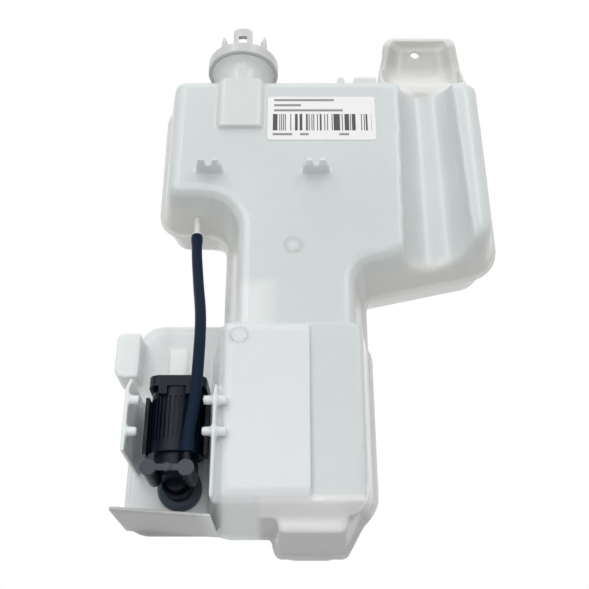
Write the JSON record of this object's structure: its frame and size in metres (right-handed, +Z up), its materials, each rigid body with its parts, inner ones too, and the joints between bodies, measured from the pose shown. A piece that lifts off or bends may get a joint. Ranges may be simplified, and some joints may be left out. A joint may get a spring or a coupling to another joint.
{
  "type": "washer fluid reservoir",
  "caption": "Upright blow-moulded washer fluid tank with a bolt ear, a collared filler neck and an electric pump clipped into a side pocket with a rubber hose.",
  "frame": {"origin": "centre of the ear's bolt hole on the tank's parting plane", "axes": "+Z up as fitted, +Y to the rear, the labelled front faces -Y"},
  "size_m": [0.2544, 0.099, 0.4004],
  "materials": {
    "milky_polyethylene": "blown translucent polyethylene",
    "neck_plastic": "moulded natural plastic",
    "label_paper": "bare white label stock",
    "grommet_rubber": "blue-grey rubber",
    "black_plastic": "fine grained moulding",
    "brass_blade": "tinned blade",
    "motor_steel": "zinc plated",
    "ferrite": "sintered ferrite",
    "carbon": "pressed carbon",
    "phenolic": "phenolic board",
    "bronze": "sintered bronze",
    "seal_rubber": "soft rubber",
    "filter_plastic": "natural nylon",
    "hose_rubber": "satin blue-black rubber",
    "connector_plastic": "white acetal",
    "shaft_steel": "ground steel",
    "core_steel": "laminated steel",
    "copper": "copper",
    "wheel_plastic": "acetal"
  },
  "bodies": {
    "reservoir": {"tank": "milky_polyethylene", "filler_neck": "neck_plastic", "label": "label_paper", "grommet": "grommet_rubber", "pump_housing": "black_plastic", "pump_cover": "black_plastic", "terminals": "brass_blade", "motor_can": "motor_steel", "magnets": "ferrite", "brushes": "carbon", "brush_plate": "phenolic", "bearing_bushes": "bronze", "shaft_seal": "seal_rubber", "valve_body": "black_plastic", "valve_discs": "seal_rubber", "valve_caps": "black_plastic", "inlet_filter": "filter_plastic", "hose": "hose_rubber", "hose_connector": "connector_plastic"},
    "rotor": {"motor_shaft": "shaft_steel", "armature_core": "core_steel", "windings": "copper", "commutator": "copper", "impeller": "wheel_plastic"}
  },
  "joints": [
    {"name": "rotor_spin", "type": "hinge", "parent": "reservoir", "child": "rotor", "pos_m": [-0.165, -0.034, -0.32], "axis": [0, 0, 1], "continuous": true}
  ]
}
